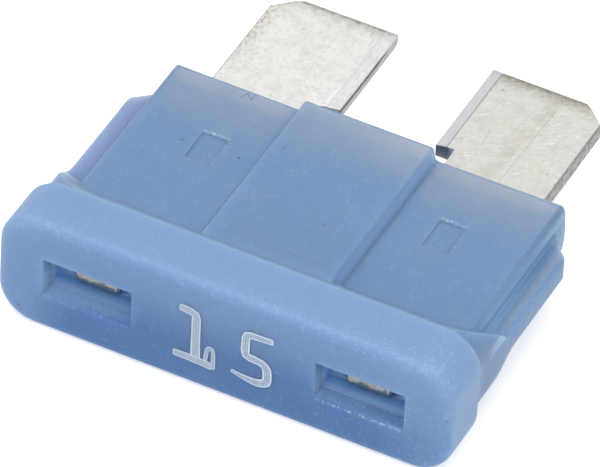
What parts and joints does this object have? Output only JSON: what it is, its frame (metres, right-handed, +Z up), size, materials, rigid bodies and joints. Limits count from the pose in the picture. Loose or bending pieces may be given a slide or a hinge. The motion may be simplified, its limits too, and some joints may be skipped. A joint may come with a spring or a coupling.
{
  "type": "automotive blade fuse",
  "caption": "Medium automotive blade fuse: translucent blue moulded housing with test windows around a stamped zinc element with flat blades.",
  "frame": {"origin": "under the middle of the fuse, at the height of the head bar's lower face", "axes": "+X across the blades, +Y from the head bar to the blade tips, +Z up through the thickness, the fuse lying on its broad side"},
  "size_m": [0.019, 0.019, 0.0052],
  "materials": {
    "housing_plastic": "frosted, slightly translucent",
    "tinned_zinc": "satin, tin plated, lightly scratched and stained"
  },
  "bodies": {
    "root": {"housing": "housing_plastic", "fuse_element": "tinned_zinc"}
  },
  "joints": []
}
